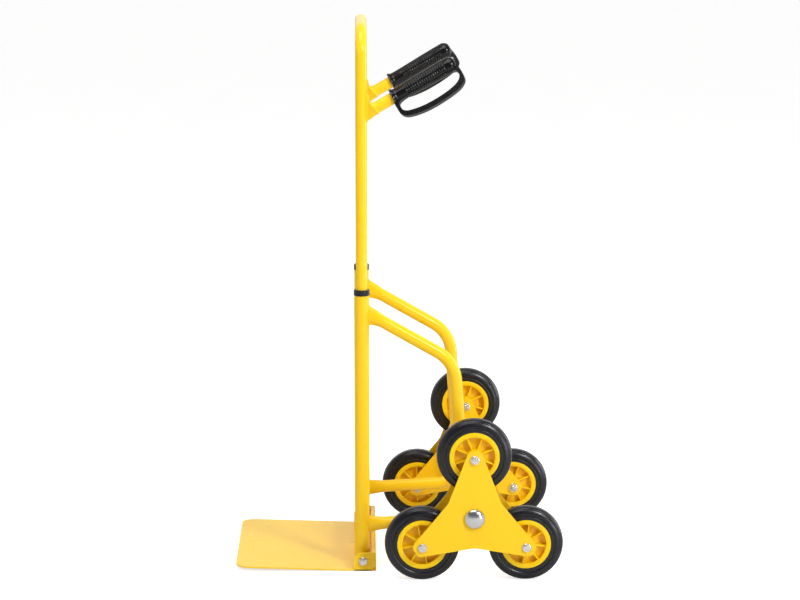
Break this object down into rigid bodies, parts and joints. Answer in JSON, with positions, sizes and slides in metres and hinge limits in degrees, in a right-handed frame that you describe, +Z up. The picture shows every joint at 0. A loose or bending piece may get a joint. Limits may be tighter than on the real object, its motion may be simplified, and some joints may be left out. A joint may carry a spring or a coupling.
{
  "type": "hand truck",
  "caption": "Stair-climbing hand truck with three-wheel clusters, folding toe plate and telescopic handle with rear grips.",
  "frame": {"origin": "on the floor, in the middle of the truck's box, with the toe plate down and the handle pulled out", "axes": "+X across the truck to the user's left, +Y towards the wheels and the user, +Z up"},
  "size_m": [0.559, 0.6578, 1.1015],
  "materials": {
    "paint": "gloss",
    "rim": "gloss",
    "tyre": "matte",
    "grip": "satin",
    "collar": "satin",
    "zinc": "satin",
    "cap": "polished"
  },
  "bodies": {
    "frame": {"left_upright": "paint", "right_upright": "paint", "lower_crossbar": "paint", "middle_crossbar": "paint", "upper_crossbar": "paint", "left_side_frame": "paint", "right_side_frame": "paint", "axle_tube": "paint", "axle_rod": "zinc", "axle_washers": "zinc", "axle_nuts": "zinc", "left_collar": "collar", "right_collar": "collar", "hinge_bolts": "zinc", "hinge_washers": "zinc", "hinge_spacers": "zinc", "hinge_nuts": "zinc"},
    "handle": {"handle_loop": "paint", "left_grip_stub": "paint", "right_grip_stub": "paint", "left_grip": "grip", "right_grip": "grip", "left_slider_guide": "collar", "right_slider_guide": "collar", "left_lock_spring": "zinc", "right_lock_spring": "zinc"},
    "left_button": {"left_lock_button": "zinc"},
    "right_button": {"right_lock_button": "zinc"},
    "toe": {"toe_plate": "paint", "toe_stop": "paint"},
    "left_cluster": {"left_outer_plate": "paint", "left_inner_plate": "paint", "left_hub_sleeve": "zinc", "left_hub_cap": "cap", "left_wheel_bolts": "zinc", "left_wheel_nuts": "zinc", "left_wheel_spacers": "zinc"},
    "left_wheel_1": {"left_tyre_1": "tyre", "left_rim_1": "rim"},
    "left_wheel_2": {"left_tyre_2": "tyre", "left_rim_2": "rim"},
    "left_wheel_3": {"left_tyre_3": "tyre", "left_rim_3": "rim"},
    "right_cluster": {"right_outer_plate": "paint", "right_inner_plate": "paint", "right_hub_sleeve": "zinc", "right_hub_cap": "cap", "right_wheel_bolts": "zinc", "right_wheel_nuts": "zinc", "right_wheel_spacers": "zinc"},
    "right_wheel_1": {"right_tyre_1": "tyre", "right_rim_1": "rim"},
    "right_wheel_2": {"right_tyre_2": "tyre", "right_rim_2": "rim"},
    "right_wheel_3": {"right_tyre_3": "tyre", "right_rim_3": "rim"}
  },
  "joints": [
    {"name": "toe_fold", "type": "hinge", "parent": "frame", "child": "toe", "pos_m": [0, -0.07089, 0.02], "axis": [-1, 0, 0], "range_deg": [0, 88]},
    {"name": "handle_slide", "type": "slide", "parent": "frame", "child": "handle", "axis": [0, 0, 1], "range_m": [-0.32, 0], "deforming": ["left_lock_button", "right_lock_button"]},
    {"name": "left_button_press", "type": "slide", "parent": "handle", "child": "left_button", "axis": [1, 0, 0], "range_m": [0, 0.0045], "stiffness_N_per_m": 500, "springref_m": -0.004, "deforming": ["left_lock_spring"]},
    {"name": "right_button_press", "type": "slide", "parent": "handle", "child": "right_button", "axis": [-1, 0, 0], "range_m": [0, 0.0045], "stiffness_N_per_m": 500, "springref_m": -0.004, "deforming": ["right_lock_spring"]},
    {"name": "left_cluster_spin", "type": "hinge", "parent": "frame", "child": "left_cluster", "pos_m": [0.2265, 0.15041, 0.13475], "axis": [1, 0, 0], "continuous": true},
    {"name": "left_wheel_1_spin", "type": "hinge", "parent": "left_cluster", "child": "left_wheel_1", "pos_m": [0.2265, 0.15041, 0.25425], "axis": [1, 0, 0], "continuous": true},
    {"name": "left_wheel_2_spin", "type": "hinge", "parent": "left_cluster", "child": "left_wheel_2", "pos_m": [0.2265, 0.04691, 0.075], "axis": [1, 0, 0], "continuous": true},
    {"name": "left_wheel_3_spin", "type": "hinge", "parent": "left_cluster", "child": "left_wheel_3", "pos_m": [0.2265, 0.25389, 0.075], "axis": [1, 0, 0], "continuous": true},
    {"name": "right_cluster_spin", "type": "hinge", "parent": "frame", "child": "right_cluster", "pos_m": [-0.2265, 0.15041, 0.13475], "axis": [1, 0, 0], "continuous": true},
    {"name": "right_wheel_1_spin", "type": "hinge", "parent": "right_cluster", "child": "right_wheel_1", "pos_m": [-0.2265, 0.15041, 0.25425], "axis": [1, 0, 0], "continuous": true},
    {"name": "right_wheel_2_spin", "type": "hinge", "parent": "right_cluster", "child": "right_wheel_2", "pos_m": [-0.2265, 0.04691, 0.075], "axis": [1, 0, 0], "continuous": true},
    {"name": "right_wheel_3_spin", "type": "hinge", "parent": "right_cluster", "child": "right_wheel_3", "pos_m": [-0.2265, 0.25389, 0.075], "axis": [1, 0, 0], "continuous": true}
  ]
}
